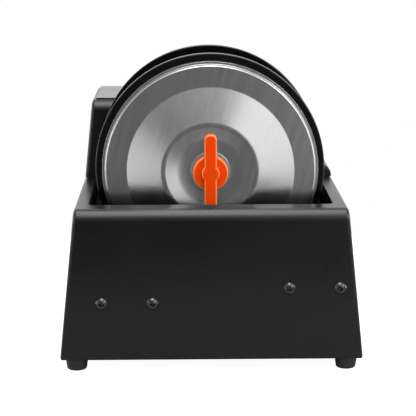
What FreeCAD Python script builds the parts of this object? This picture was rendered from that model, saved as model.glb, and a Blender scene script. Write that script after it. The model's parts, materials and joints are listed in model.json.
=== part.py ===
import FreeCAD, Part
import math
import os

V = FreeCAD.Vector

# Rotary drum tumbler. X runs across the front, Y runs from the front to the rear and Z is up.
# The origin is at the middle of the footprint, on the bench.

# Housing
housing_width = 289.0
housing_length = 300.0
side_taper = 6.0
shell_wall = 2.5
trough_height = 145.0
tower_length = 120.0
tower_height = 81.0
tower_right_x = 42.0
tower_slope_x = 74.0
slope_rounding = 14.0
shoulder_height = 12.5
bend_radius = 11.0
corner_radius = 3.5
base_side_rounding = 2.4
base_front_rounding = 1.2
front_rim = 29.5
side_rim = 13.4
rim_drop = 8.0
rim_rounding = 1.2
opening_corner = 5.0
ledge = 6.0
foot_height = 11.6
foot_top_radius = 11.0
foot_bottom_radius = 8.5
foot_rounding = 2.0
foot_inset_x = 15.4
foot_inset_y = 13.0
post_radius = 6.5
post_height = 28.0
plate_thickness = 1.5
edge_gap = 0.4
bulkhead_thickness = 2.0
bulkhead_tab = 16.0
bulkhead_tower_margin = 9.0
bulkhead_side_gap = 1.6
bulkhead_hole_clearance = 0.4
tab_screw_inset = 48.0
tab_screw_setback = 9.6

# Drum
drum_side_gap = 3.86
drum_tower_gap = 8.6
flange_thickness = 7.0
flange_edge_rounding = 1.6
flange_front_setback = 75.0
barrel_margin = 15.0
barrel_wall = 2.0
barrel_lip = 7.0
barrel_rounding = 2.0
mouth_lip = 9.0
mouth_rounding = 1.0
liner_back = 4.0
liner_corner_wall = 2.5
liner_corner_rounding = 6.0
liner_gap = 0.2
liner_sides = 8
gasket_depth = 9.0
gasket_width = 11.0
gasket_inner_rounding = 1.5
gasket_outer_rounding = 0.5
liner_bar_gap = 1.0
liner_rounding = 3.0
liner_bolt_pocket = 6.0

# Lid
lid_margin = 7.0
lid_sheet = 1.2
lid_lip_height = 1.6
lid_lip_width = 2.4
lid_lip_rounding = 1.4
lid_lip_fillet = 1.0
lid_wall_draft = 0.9
shoulder_rounding = 2.0
face_rise = 7.6
face_width = 20.5
face_rounding = 6.0
crest_radius = 44.8
crest_rounding = 14.0
crest_rise = 15.5
bowl_radius = 29.5
bowl_rounding = 90.0
bowl_rise = 12.1
washer_radius = 19.4
washer_thickness = 1.6
bar_width = 24.0
bar_thickness = 6.0
stud_radius = 5.0
stud_clearance = 0.3
stud_reach = 11.5
bolt_circle = 60.0
drum_bolts = 6
drum_bolt_radius = 2.5
drum_bolt_head = 5.0
drum_bolt_head_height = 1.8
drum_nut_height = 2.5

# Wing knob
knob_hub_radius = 17.0
knob_hub_depth = 9.9
knob_boss_radius = 8.6
knob_wing_reach = 38.0
knob_wing_width = 12.0
knob_wing_depth = 9.0
knob_wing_proud = 4.5
knob_tip_rounding = 5.88
knob_edge_rounding = 1.6
knob_seat_gap = 0.3
insert_radius = 8.0
insert_depth = 8.0
thread_clearance = 0.06

# Wheels that carry the drum, on two axles
drive_axle_inset = 64.4
drive_axle_z = 66.84
idler_axle_inset = 46.9
wheel_radius = 29.7
wheel_width = 15.0
wheel_lip = 2.0
wheel_side_gap = 0.35
tyre_rounding = 1.0
groove_rounding = 0.4
web_rounding = 2.0
rolling_gap = 0.3
hub_radius = 23.0
hub_web = 6.0
hub_rim = 3.0
hub_boss_radius = 11.0
axle_radius = 6.0
axle_fit = 0.05
collar_radius = 11.0
collar_width = 8.0
collar_gap = 0.4
axle_end = 2.0

# Two-bolt bearing units
bearing_bolt_spacing = 48.0
bearing_ear_radius = 7.5
bearing_centre_radius = 18.5
bearing_boss_radius = 17.5
bearing_flange = 5.0
bearing_depth = 13.0
ball_bearing_radius = 14.0
ball_bearing_width = 8.0
bearing_shoulder_radius = 9.0

# Screws
bearing_screw_radius = 3.0
bearing_screw_head = 6.0
bearing_screw_head_height = 3.6
bearing_screw_length = 16.0
rear_screw_length = 8.0
screw_hole_clearance = 0.3
nut_width = 10.0
nut_height = 5.0
recess_depth = 2.0
head_crown = 0.6
recess_width = 1.5
recess_reach = 3.2
small_screw_radius = 2.0
small_screw_head = 4.0
small_screw_head_height = 2.6
small_screw_length = 12.0

# Motor and belt
motor_inset = 82.0
motor_headroom = 11.4
motor_radius = 36.0
motor_rounding = 3.0
motor_hole_clearance = 2.0
motor_length = 54.0
motor_wall = 3.0
motor_shaft_radius = 4.0
motor_pulley_radius = 8.0
drive_pulley_radius = 48.0
pulley_width = 11.0
pulley_rim = 2.0
pulley_flat = 0.6
pulley_chamfer = 0.4
pulley_web = 4.0
pulley_hub_radius = 13.0
pulley_groove_depth = 6.0
pulley_axle_end = 1.0
pulley_gap = 4.0
belt_width = 6.0
belt_thickness = 3.0
belt_gap = 0.3
belt_side_gap = 0.5
standoff_radius = 4.0
standoff_circle = 27.0
rotor_radius = 22.0
rotor_gap = 0.6
fan_radius = 30.0
fan_depth = 9.0
fan_blades = 9
fan_gap = 3.0
fan_hub_radius = 8.8
fan_disc = 1.5
fan_blade = 1.4

# Control panel on the tower
panel_thickness = 1.5
panel_corner = 3.0
window_width = 46.0
window_depth = 24.0
window_x = -36.0
window_setback = 42.0
window_corner = 1.5
lens_gap = 0.15
lens_thickness = 1.2
lens_corner = 1.2
lens_depth = 0.2
button_radius = 6.5
button_gap = 0.35
button_proud = 1.6
button_spacing = 22.0
button_setback = 80.0
button_under_gap = 0.3
button_rounding = 0.8
button_switch = 6.0
button_switch_gap = 0.2
button_travel = 1.0
button_flange = 1.6
button_stem_radius = 2.0
button_stem = 2.2
board_drop = 12.0
board_thickness = 1.6
board_width = 84.0
board_depth = 74.0
post_inset = 5.0
post_width = 6.0
panel_left_corner = 0.5

# Rear panel and electrics
panel_left_inset = 46.0
panel_right_x = 22.0
panel_bottom_gap = 32.0
panel_top_gap = 21.5
panel_overlap = 8.0
vent_height = 3.0
vent_pitch = 8.0
vent_count = 9
vent_length = 60.0
vent_rounding = 1.47
inlet_x = -14.0
inlet_z = 73.6
inlet_width = 27.0
inlet_height = 20.0
inlet_depth = 24.0
inlet_wall = 2.4
inlet_collar = 3.0
inlet_proud = 1.0
inlet_fit = 0.2
inlet_back = 5.0
pin_spacing = 14.0
pin_offset = 2.0
pin_width = 2.0
pin_height = 4.0
pin_tail = 5.0
switch_x = -62.0
switch_width = 13.0
switch_height = 19.0
switch_depth = 16.0
switch_wall = 1.5
switch_bezel = 2.0
switch_recess = 8.0
rocker_pin_radius = 1.25
rocker_pin_depth = 2.0
rocker_heel = 2.0
rocker_end_gap = 1.2
rocker_heel_rounding = 0.8
rocker_rounding = 0.6
rocker_tilt = 8.0
rocker_gap = 0.35
rocker_proud = 1.2
fuse_x = -14.0
fuse_z = 105.6
fuse_radius = 7.0
fuse_depth = 22.0
fuse_body_radius = 5.8
fuse_proud = 2.0
fuse_hole_radius = 6.0
fuse_slot_reach = 4.0
fuse_slot_width = 1.2
fuse_slot_depth = 1.0
supply_width = 84.0
supply_depth = 66.0
supply_inset = 68.0
supply_setback = 58.0
supply_standoff = 6.0
transformer_x = 8.0
transformer_y = 14.0
transformer_width = 38.0
transformer_depth = 36.0
transformer_height = 32.0
capacitor_inset = 18.0
large_capacitor_y = 20.0
large_capacitor_radius = 9.0
large_capacitor_height = 30.0
small_capacitor_radius = 7.0
small_capacitor_height = 22.0

def half_width(z):
    return housing_width / 2 - (z - base_z) * math.tan(math.radians(side_taper))


# Places worked out from the sizes above
base_z = foot_height
rim_z = base_z + trough_height
cover_top_z = rim_z + tower_height
shoulder_z = rim_z + shoulder_height
front_y = -housing_length / 2
rear_y = housing_length / 2
tower_y = rear_y - tower_length
inner_front_y = front_y + shell_wall
inner_rear_y = rear_y - shell_wall
floor_z = base_z + plate_thickness
rim_edge_y = front_y + front_rim
bulkhead_y = tower_y + ledge + edge_gap
bulkhead_rear_y = bulkhead_y + bulkhead_thickness
tab_screw_y = bulkhead_y + tab_screw_setback
foot_x = housing_width / 2 - foot_inset_x
foot_y = housing_length / 2 - foot_inset_y
panel_left_x = panel_left_inset - housing_width / 2
panel_bottom_z = base_z + panel_bottom_gap
panel_top_z = cover_top_z - panel_top_gap

flange_radius = half_width(rim_z) - side_rim - drum_side_gap
barrel_radius = flange_radius - barrel_margin
mouth_radius = barrel_radius - mouth_lip
lid_radius = flange_radius - lid_margin
lid_wall_radius = lid_radius - lid_lip_width
face_radius = lid_wall_radius - lid_wall_draft
face_inner_radius = face_radius - face_width
drive_axle_x = drive_axle_inset - housing_width / 2
idler_axle_x = housing_width / 2 - idler_axle_inset
axle_distance = flange_radius + rolling_gap + wheel_radius
drum_z = drive_axle_z + math.sqrt(axle_distance ** 2 - drive_axle_x ** 2)

flange_y = front_y + flange_front_setback
flange_back_y = flange_y + flange_thickness
rear_flange_back_y = tower_y - drum_tower_gap
rear_flange_y = rear_flange_back_y - flange_thickness
lid_seat_y = flange_y - gasket_depth
washer_y = lid_seat_y - bowl_rise
knob_y = washer_y - washer_thickness - knob_seat_gap
pulley_y = bulkhead_rear_y + bearing_depth + pulley_gap
pulley_back_y = pulley_y + pulley_width
motor_y = pulley_back_y + pulley_gap
under_top_z = cover_top_z - shell_wall
panel_top = cover_top_z + panel_thickness
board_top_z = under_top_z - board_drop
motor_x = motor_inset - housing_width / 2
motor_z = board_top_z - board_thickness - motor_headroom - motor_radius
window_y = tower_y + window_setback
button_y = tower_y + button_setback
supply_x = housing_width / 2 - supply_inset
supply_y = rear_y - supply_setback
wheel_centres_y = [flange_y + flange_thickness / 2, rear_flange_y + flange_thickness / 2]
screw_hole = bearing_screw_radius + screw_hole_clearance
small_screw_hole = small_screw_radius + screw_hole_clearance
rocker_pin_y = inner_rear_y - rocker_pin_depth
window_edges = [window_x - window_width / 2, window_x + window_width / 2,
                window_y - window_depth / 2, window_y + window_depth / 2]


def axle_z(x):
    return drum_z - math.sqrt(axle_distance ** 2 - x ** 2)


def box(x0, x1, y0, y1, z0, z1):
    return Part.makeBox(x1 - x0, y1 - y0, z1 - z0, V(x0, y0, z0))


def rod(x, z, radius, y0, y1):
    return Part.makeCylinder(radius, y1 - y0, V(x, y0, z), V(0, 1, 0))


def post(x, y, radius, z0, z1):
    return Part.makeCylinder(radius, z1 - z0, V(x, y, z0))


def ring(x, z, outer, inner, y0, y1):
    return rod(x, z, outer, y0, y1).cut(rod(x, z, inner, y0 - 1, y1 + 1))


# A closed outline of (u, v, corner radius) points. Each rounded corner is an arc tangent to its two sides.
def outline(corners, place):
    starts = []
    edges = []
    count = len(corners)
    for i in range(count):
        here = V(corners[i][0], corners[i][1], 0)
        back = V(corners[i - 1][0], corners[i - 1][1], 0) - here
        ahead = V(corners[(i + 1) % count][0], corners[(i + 1) % count][1], 0) - here
        back.normalize()
        ahead.normalize()
        radius = corners[i][2]
        if radius == 0:
            starts.append((here, here, here))
            continue
        half = back.getAngle(ahead) / 2
        reach = radius / math.tan(half)
        middle = back + ahead
        middle.normalize()
        top = here + middle * (radius / math.sin(half) - radius)
        starts.append((here + back * reach, top, here + ahead * reach))
    for i in range(count):
        first, top, last = [place(p.x, p.y) for p in starts[i]]
        if corners[i][2] > 0:
            edges.append(Part.Arc(first, top, last).toShape())
        following = starts[(i + 1) % count][0]
        target = place(following.x, following.y)
        if last.distanceToPoint(target) > 1e-6:
            edges.append(Part.makeLine(last, target))
    return Part.Wire(edges)


def plate_xz(corners, y0, y1):
    wire = outline(corners, lambda u, v: V(u, y0, v))
    return Part.Face(wire).extrude(V(0, y1 - y0, 0))


def plate_xy(corners, z0, z1):
    wire = outline(corners, lambda u, v: V(u, v, z0))
    return Part.Face(wire).extrude(V(0, 0, z1 - z0))


def plate_yz(corners, x0, x1):
    wire = outline(corners, lambda u, v: V(x0, u, v))
    return Part.Face(wire).extrude(V(x1 - x0, 0, 0))


# Turns an outline of (radius, y, corner radius) points about an axle that runs along Y.
def turned(corners, x, z):
    wire = outline(corners, lambda u, v: V(x + u, v, z))
    return Part.Face(wire).revolve(V(x, 0, z), V(0, 1, 0), 360)


# The outline of a sheet of even thickness: a path and the same path moved sideways by the thickness.
def sheet(path, thickness):
    moved = []
    count = len(path)
    for i in range(count):
        here = V(path[i][0], path[i][1], 0)
        sides = []
        if i > 0:
            sides.append(here - V(path[i - 1][0], path[i - 1][1], 0))
        if i < count - 1:
            sides.append(V(path[i + 1][0], path[i + 1][1], 0) - here)
        normals = [V(-side.y, side.x, 0).normalize() for side in sides]
        if len(normals) == 1:
            point = here + normals[0] * thickness
            moved.append((point.x, point.y, 0))
            continue
        middle = normals[0] + normals[1]
        middle.normalize()
        point = here + middle * (thickness / middle.dot(normals[0]))
        turn = sides[0].x * sides[1].y - sides[0].y * sides[1].x
        radius = path[i][2] - math.copysign(1, turn) * thickness
        moved.append((point.x, point.y, radius))
    return list(path) + moved[::-1]


def rectangle(x0, x1, y0, y1, radius):
    return [(x0, y0, radius), (x1, y0, radius), (x1, y1, radius), (x0, y1, radius)]


def round_edges(solid, radius, chosen):
    edges = [edge for edge in solid.Edges if chosen(edge)]
    return solid.makeFillet(radius, edges)


def join(shapes):
    whole = shapes[0]
    for shape in shapes[1:]:
        whole = whole.fuse(shape)
    return whole.removeSplitter()


def cross_recess(x, y, z, facing):
    slots = []
    for angle in (0, 90):
        slot = box(-recess_reach, recess_reach, 0, recess_depth, -recess_width / 2, recess_width / 2)
        slot.rotate(V(0, 0, 0), V(0, 1, 0), angle)
        slots.append(slot)
    cut = join(slots)
    if facing < 0:
        cut.translate(V(x, y, z))
    else:
        cut.translate(V(x, y - recess_depth, z))
    return cut


def rim_at(edge, y, radius):
    return abs(edge.CenterOfMass.y - y) < 0.01 and edge.Length > radius


# A pan-head screw along Y. Facing is -1 where the head is at the front and 1 where it is at the rear.
def pan_screw(x, z, seat_y, facing, radius, head, head_height, length):
    top_y = seat_y + facing * head_height
    shank_end = seat_y - facing * length
    head_solid = rod(x, z, head, min(seat_y, top_y), max(seat_y, top_y))
    crown = round_edges(head_solid, head_height * head_crown, lambda edge: rim_at(edge, top_y, head))
    shank = rod(x, z, radius, min(seat_y, shank_end), max(seat_y, shank_end))
    return join([crown, shank]).cut(cross_recess(x, top_y, z, facing))


def large_screw(x, z, seat_y, facing, length):
    return pan_screw(x, z, seat_y, facing, bearing_screw_radius, bearing_screw_head,
                     bearing_screw_head_height, length)


def round_a(x, z, radius, angle):
    return x + radius * math.cos(angle), z + radius * math.sin(angle)


def hex_nut(x, z, y, width, height, bore):
    radius = width / math.sqrt(3)
    corners = [round_a(x, z, radius, math.radians(60 * i)) + (0,) for i in range(6)]
    return plate_xz(corners, y, y + height).cut(rod(x, z, bore, y - 1, y + height + 1))


# Housing

def trough_block(inset, bottom, top):
    front = front_y + inset
    rear = rear_y - inset
    side = [(front, bottom, 0), (rear, bottom, 0), (rear, top, 0), (front, top, bend_radius - inset)]
    across = [(-half_width(bottom) + inset, bottom, 0), (half_width(bottom) - inset, bottom, 0),
              (half_width(top) - inset, top, 0), (-half_width(top) + inset, top, 0)]
    reach = housing_width
    return plate_yz(side, -reach, reach).common(plate_xz(across, front_y - 1, rear_y + 1))


def on_side_wall(edge):
    ends = [vertex.Point for vertex in edge.Vertexes]
    along = all(abs(abs(p.x) - half_width(p.z)) < 0.01 for p in ends)
    return along and ends[0].x * ends[-1].x > 0


def trough_side_edge(edge):
    middle = edge.CenterOfMass
    return on_side_wall(edge) and middle.z > base_z + 0.01


def mouth(grow, z0, z1):
    half = half_width(rim_z) - side_rim + grow
    return plate_xy(rectangle(-half, half, rim_edge_y - grow, tower_y + grow, opening_corner + grow), z0, z1)


def mouth_edge(edge):
    bounds = edge.BoundBox
    inside = bounds.YMin > rim_edge_y - 0.1 and bounds.YMax < tower_y - opening_corner + 0.1
    across = abs(bounds.XMax) < half_width(rim_z) - side_rim + 0.1
    return inside and across and bounds.ZMin > rim_z - 0.01


# The lower edges are rounded along the sides and, less, along the front and the rear.
def rounded_base():
    across = [(-half_width(base_z), base_z, base_side_rounding), (half_width(base_z), base_z, base_side_rounding),
              (half_width(rim_z), rim_z, 0), (-half_width(rim_z), rim_z, 0)]
    side = [(front_y, base_z, base_front_rounding), (rear_y, base_z, base_front_rounding),
            (rear_y, rim_z, 0), (front_y, rim_z, 0)]
    reach = housing_width
    return plate_xz(across, front_y - 1, rear_y + 1).common(plate_yz(side, -reach, reach))


def housing_shell():
    outer = round_edges(trough_block(0, base_z, rim_z), corner_radius, trough_side_edge)
    outer = outer.common(rounded_base())
    inner = trough_block(shell_wall, base_z, rim_z - shell_wall)
    shell = outer.cut(inner)
    drop = mouth(shell_wall, rim_z - shell_wall - rim_drop, rim_z - shell_wall)
    shell = join([shell, drop])
    shell = shell.cut(mouth(0, rim_z - shell_wall - rim_drop - 1, rim_z + 1))
    shell = round_edges(shell, rim_rounding, mouth_edge)
    back = half_width(rim_z) - side_rim
    shell = shell.cut(box(-back, back, tower_y + ledge, inner_rear_y - ledge, rim_z - rim_drop, rim_z + 1))
    shell = shell.cut(box(panel_left_x - panel_overlap - edge_gap, panel_right_x + panel_overlap + edge_gap,
                          inner_rear_y - ledge - 1, inner_rear_y, rim_z - rim_drop, rim_z + 1))
    posts = []
    for x in (-foot_x, foot_x):
        for y in (-foot_y, foot_y):
            sense = math.copysign(1, x)
            wall_x = half_width(base_z) - shell_wall / 2
            rib = box(min(x, sense * wall_x), max(x, sense * wall_x), y - shell_wall / 2, y + shell_wall / 2,
                      floor_z, floor_z + post_height)
            limit = trough_block(shell_wall / 2, base_z, rim_z)
            posts.append(post(x, y, post_radius, floor_z, floor_z + post_height).fuse(rib.common(limit)))
    shell = join([shell] + posts)
    for x in (-foot_x, foot_x):
        for y in (-foot_y, foot_y):
            hole_top = floor_z + post_height - shell_wall
            shell = shell.cut(post(x, y, small_screw_radius, base_z, hole_top))
    shell = shell.cut(rear_window(rim_z))
    for x, z in rear_screw_places():
        if z < rim_z:
            shell = shell.cut(rod(x, z, screw_hole, inner_rear_y - 1, rear_y + 1))
    for x, z in front_screw_places():
        shell = shell.cut(rod(x, z, screw_hole, front_y - 1, inner_front_y + 1))
    return shell


def tower_outline(bottom, grow):
    top = cover_top_z + grow
    return [(-half_width(bottom) - grow, bottom, 0), (half_width(bottom) + grow, bottom, 0),
            (half_width(shoulder_z) + grow, shoulder_z + grow, bend_radius + grow),
            (tower_slope_x + grow, shoulder_z + grow, slope_rounding - grow),
            (tower_right_x + grow, top, slope_rounding + grow),
            (-half_width(top) - grow, top, 0)]


def tower_block(grow, bottom):
    front = tower_y - grow
    rear = rear_y + grow
    top = cover_top_z + grow
    side = [(front, bottom, 0), (rear, bottom, 0), (rear, top, corner_radius),
            (front, top, bend_radius + grow)]
    reach = housing_width
    return plate_yz(side, -reach, reach).common(plate_xz(tower_outline(bottom, grow), front - 1, rear + 1))


def tower_side_edge(edge):
    middle = edge.CenterOfMass
    return on_side_wall(edge) and middle.x < 0 and middle.z > rim_z + 0.01


def tower_cover():
    outer = round_edges(tower_block(0, rim_z), corner_radius, tower_side_edge)
    cover = outer.cut(tower_block(-shell_wall, rim_z - 1))
    cover = cover.cut(rear_window(cover_top_z))
    for x, z in rear_screw_places():
        if z > rim_z:
            cover = cover.cut(rod(x, z, screw_hole, inner_rear_y - 1, rear_y + 1))
    cover = cover.cut(window_plate(0, window_corner, under_top_z - 1, cover_top_z + 1))
    for x in button_places():
        cover = cover.cut(post(x, button_y, button_radius + button_gap, under_top_z - 1, cover_top_z + 1))
    return cover


def rear_window(top):
    high = min(top + 1, panel_top_z)
    return box(panel_left_x, panel_right_x, inner_rear_y - 1, rear_y + 1, panel_bottom_z, high)


def rear_screw_places():
    edge = panel_overlap / 2 + bearing_screw_radius / 2
    left = panel_left_x - edge
    right = panel_right_x + edge
    levels = [panel_bottom_z + edge, (panel_bottom_z + rim_z) / 2, rim_z + (panel_top_z - rim_z) / 2]
    return [(x, z) for x in (left, right) for z in levels]


def front_screw_places():
    places = []
    for x in (drive_axle_x, idler_axle_x):
        for side in (-1, 1):
            places.append((x + side * bearing_bolt_spacing / 2, axle_z(x)))
    return places


def base_plate():
    half = half_width(base_z) - shell_wall - edge_gap
    front = inner_front_y + edge_gap
    rear = inner_rear_y - edge_gap
    plate = plate_xy(rectangle(-half, half, front, rear, corner_radius), base_z, floor_z)
    for x in (-foot_x, foot_x):
        for y in (-foot_y, foot_y):
            plate = plate.cut(post(x, y, small_screw_hole, base_z - 1, floor_z + 1))
    for x in tab_screw_places():
        plate = plate.cut(post(x, tab_screw_y, small_screw_radius, base_z - 1, floor_z + 1))
    return plate


def foot(x, y):
    cone = Part.makeCone(foot_bottom_radius, foot_top_radius, foot_height, V(x, y, 0))
    cone = round_edges(cone, foot_rounding, lambda edge: edge.BoundBox.ZMax < foot_height / 2)
    hollow = post(x, y, small_screw_head + screw_hole_clearance, -1, foot_height / 2)
    hole = post(x, y, small_screw_hole, 0, foot_height + 1)
    return cone.cut(hollow).cut(hole)


# A small screw that points up, with its head at the bottom.
def upright_screw(x, y, seat_z, length):
    head = post(x, y, small_screw_head, seat_z - small_screw_head_height, seat_z)
    return join([head, post(x, y, small_screw_radius, seat_z, seat_z + length)])


def foot_screws():
    seat = foot_height / 2
    reach = foot_height / 2 + plate_thickness + small_screw_length
    places = [(x, y) for x in (-foot_x, foot_x) for y in (-foot_y, foot_y)]
    return Part.makeCompound([upright_screw(x, y, seat, reach) for x, y in places])


def tab_screw_places():
    reach = housing_width / 2 - tab_screw_inset
    return [-reach, 0, reach]


def bulkhead():
    low = half_width(floor_z) - shell_wall - bulkhead_side_gap
    high = half_width(rim_z) - side_rim - edge_gap
    waist = rim_z - rim_drop - shell_wall
    top = under_top_z - board_drop - bulkhead_tower_margin
    left = half_width(top) - shell_wall - bulkhead_tower_margin
    right = tower_right_x - bulkhead_tower_margin
    corners = [(-low, floor_z, 0), (low, floor_z, 0), (high, waist, 0), (high, rim_z - shell_wall, 0),
               (tower_slope_x - bulkhead_tower_margin, rim_z - shell_wall, 0), (right, top, corner_radius),
               (-left, top, corner_radius), (-high, rim_z - shell_wall, 0), (-high, waist, 0)]
    plate = plate_xz(corners, bulkhead_y, bulkhead_rear_y)
    tab = box(-low, low, bulkhead_y, bulkhead_y + bulkhead_tab, floor_z, floor_z + bulkhead_thickness)
    plate = join([plate, tab])
    for x in (drive_axle_x, idler_axle_x):
        plate = plate.cut(rod(x, axle_z(x), bearing_shoulder_radius, bulkhead_y - 1, bulkhead_rear_y + 1))
    for x, z in front_screw_places():
        plate = plate.cut(rod(x, z, screw_hole, bulkhead_y - 1, bulkhead_rear_y + 1))
    motor_hole = bearing_shoulder_radius + motor_hole_clearance
    plate = plate.cut(rod(motor_x, motor_z, motor_hole, bulkhead_y - 1, bulkhead_rear_y + 1))
    standoff_hole = small_screw_radius + bulkhead_hole_clearance
    for x, z in standoff_places():
        plate = plate.cut(rod(x, z, standoff_hole, bulkhead_y - 1, bulkhead_rear_y + 1))
    tab_top = floor_z + bulkhead_thickness
    for x in tab_screw_places():
        plate = plate.cut(post(x, tab_screw_y, small_screw_hole, floor_z - 1, tab_top + 1))
    return plate


def tab_screws():
    screws = []
    seat = floor_z + bulkhead_thickness
    for x in tab_screw_places():
        head = post(x, tab_screw_y, small_screw_head, seat, seat + small_screw_head_height)
        shank = post(x, tab_screw_y, small_screw_radius, base_z + edge_gap, seat)
        screws.append(join([head, shank]))
    return Part.makeCompound(screws)


def rear_panel():
    x0 = panel_left_x - panel_overlap
    x1 = panel_right_x + panel_overlap
    z0 = panel_bottom_z - panel_overlap
    z1 = panel_top_z + panel_overlap
    y0 = inner_rear_y - plate_thickness
    plate = plate_xz(rectangle(x0, x1, z0, z1, corner_radius), y0, inner_rear_y)
    for x, z in rear_screw_places():
        plate = plate.cut(rod(x, z, screw_hole, y0 - 1, inner_rear_y + 1))
    for i in range(vent_count):
        z = motor_z + (i - (vent_count - 1) / 2) * vent_pitch
        left = motor_x - vent_length / 2
        slot = rectangle(left, left + vent_length, z, z + vent_height, vent_rounding)
        plate = plate.cut(plate_xz(slot, y0 - 1, inner_rear_y + 1))
    half = inlet_width / 2
    plate = plate.cut(box(inlet_x - half, inlet_x + half, y0 - 1, inner_rear_y + 1,
                          inlet_z - inlet_height / 2, inlet_z + inlet_height / 2))
    half = switch_width / 2
    plate = plate.cut(box(switch_x - half, switch_x + half, y0 - 1, inner_rear_y + 1,
                          inlet_z - switch_height / 2, inlet_z + switch_height / 2))
    return plate.cut(rod(fuse_x, fuse_z, fuse_hole_radius, y0 - 1, inner_rear_y + 1))


def rear_panel_screws():
    places = rear_screw_places()
    return Part.makeCompound([large_screw(x, z, rear_y, 1, rear_screw_length) for x, z in places])


# Bearings and axles

def bearing_unit(x, wall_y):
    z = axle_z(x)
    half = bearing_bolt_spacing / 2
    flange_end = wall_y + bearing_flange
    end = wall_y + bearing_depth
    ears = [rod(x + side * half, z, bearing_ear_radius, wall_y, flange_end) for side in (-1, 1)]
    hull = rod(x, z, bearing_centre_radius, wall_y, flange_end)
    lean = math.asin((bearing_centre_radius - bearing_ear_radius) / half)
    rise = math.cos(lean)
    run = math.sin(lean)
    webs = []
    for side in (-1, 1):
        near = x + side * bearing_centre_radius * run
        far = x + side * (half + bearing_ear_radius * run)
        corners = [(near, z + bearing_centre_radius * rise, 0), (far, z + bearing_ear_radius * rise, 0),
                   (far, z - bearing_ear_radius * rise, 0), (near, z - bearing_centre_radius * rise, 0)]
        webs.append(plate_xz(corners, wall_y, flange_end))
    boss = rod(x, z, bearing_boss_radius, wall_y, end)
    unit = join([hull, boss] + ears + webs)
    unit = unit.cut(rod(x, z, ball_bearing_radius, end - ball_bearing_width, end + 1))
    unit = unit.cut(rod(x, z, bearing_shoulder_radius, wall_y - 1, end))
    for side in (-1, 1):
        unit = unit.cut(rod(x + side * half, z, screw_hole, wall_y - 1, flange_end + 1))
    return unit


def ball_bearing(x, wall_y):
    end = wall_y + bearing_depth
    return ring(x, axle_z(x), ball_bearing_radius, axle_radius + axle_fit, end - ball_bearing_width, end)


def bearing_fasteners():
    screws = []
    nuts = []
    for x, z in front_screw_places():
        for seat_y in (front_y, bulkhead_y):
            screws.append(large_screw(x, z, seat_y, -1, bearing_screw_length))
        for wall_y in (inner_front_y, bulkhead_rear_y):
            nuts.append(hex_nut(x, z, wall_y + bearing_flange, nut_width, nut_height,
                                bearing_screw_radius + axle_fit))
    return Part.makeCompound(screws + nuts)


def axle(x, rear_end):
    return rod(x, axle_z(x), axle_radius, inner_front_y + bearing_flange, rear_end)


def wheel_hub(x, y):
    front = y - wheel_width / 2
    back = y + wheel_width / 2
    web_front = y - hub_web / 2
    web_back = y + hub_web / 2
    inside = hub_radius - hub_rim
    return turned([(axle_radius, front, 0), (hub_boss_radius, front, 0),
                   (hub_boss_radius, web_front, web_rounding), (inside, web_front, web_rounding),
                   (inside, front, 0), (hub_radius, front, 0), (hub_radius, back, 0), (inside, back, 0),
                   (inside, web_back, web_rounding), (hub_boss_radius, web_back, web_rounding),
                   (hub_boss_radius, back, 0), (axle_radius, back, 0)], x, axle_z(x))


def tyre(x, y):
    front = y - wheel_width / 2
    back = y + wheel_width / 2
    groove = flange_thickness / 2 + wheel_side_gap
    top = wheel_radius + wheel_lip
    return turned([(hub_radius, front, 0), (top, front, tyre_rounding), (top, y - groove, tyre_rounding),
                   (wheel_radius, y - groove, groove_rounding), (wheel_radius, y + groove, groove_rounding),
                   (top, y + groove, tyre_rounding), (top, back, tyre_rounding), (hub_radius, back, 0)],
                  x, axle_z(x))


def collar(x):
    z = axle_z(x)
    start = inner_front_y + bearing_depth + collar_gap
    shape = ring(x, z, collar_radius, axle_radius, start, start + collar_width)
    return shape.cut(post(x, start + collar_width / 2, small_screw_radius, z, z + collar_radius + 1))


def pulley(x, z, radius, bore):
    lip = radius + pulley_rim
    front = pulley_y + (pulley_width - belt_width) / 2 - pulley_flat
    back = pulley_back_y - (front - pulley_y)
    groove_front = front + pulley_chamfer
    groove_back = back - pulley_chamfer
    return turned([(bore, pulley_y, 0), (lip, pulley_y, 0), (lip, front, 0), (radius, groove_front, 0),
                   (radius, groove_back, 0), (lip, back, 0), (lip, pulley_back_y, 0),
                   (bore, pulley_back_y, 0)], x, z)


def drive_pulley():
    z = axle_z(drive_axle_x)
    shape = pulley(drive_axle_x, z, drive_pulley_radius, axle_radius)
    outer = drive_pulley_radius - pulley_groove_depth
    recess = (pulley_width - pulley_web) / 2
    for y0, y1 in ((pulley_y - 1, pulley_y + recess), (pulley_back_y - recess, pulley_back_y + 1)):
        shape = shape.cut(ring(drive_axle_x, z, outer, pulley_hub_radius, y0, y1))
    return shape


# The belt runs outside both pulleys, so its path is two arcs and the two lines that touch them.
def belt_wire(extra, y):
    drive_z = axle_z(drive_axle_x)
    large = drive_pulley_radius + extra
    small = motor_pulley_radius + extra
    along = math.atan2(motor_z - drive_z, motor_x - drive_axle_x)
    lean = math.acos((large - small) / math.hypot(motor_x - drive_axle_x, motor_z - drive_z))

    def on_drive(angle):
        x, z = round_a(drive_axle_x, drive_z, large, angle)
        return V(x, y, z)

    def on_motor(angle):
        x, z = round_a(motor_x, motor_z, small, angle)
        return V(x, y, z)

    upper = Part.makeLine(on_drive(along + lean), on_motor(along + lean))
    top = Part.Arc(on_motor(along + lean), on_motor(along), on_motor(along - lean)).toShape()
    lower = Part.makeLine(on_motor(along - lean), on_drive(along - lean))
    bottom = Part.Arc(on_drive(along - lean), on_drive(along + math.pi), on_drive(along + lean)).toShape()
    return Part.Wire([upper, top, lower, bottom])


def belt():
    front = pulley_y + (pulley_width - belt_width) / 2 + belt_side_gap
    reach = V(0, belt_width - 2 * belt_side_gap, 0)
    outer = Part.Face(belt_wire(belt_gap + belt_thickness, front)).extrude(reach)
    return outer.cut(Part.Face(belt_wire(belt_gap, front)).extrude(reach))


# Motor

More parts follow.
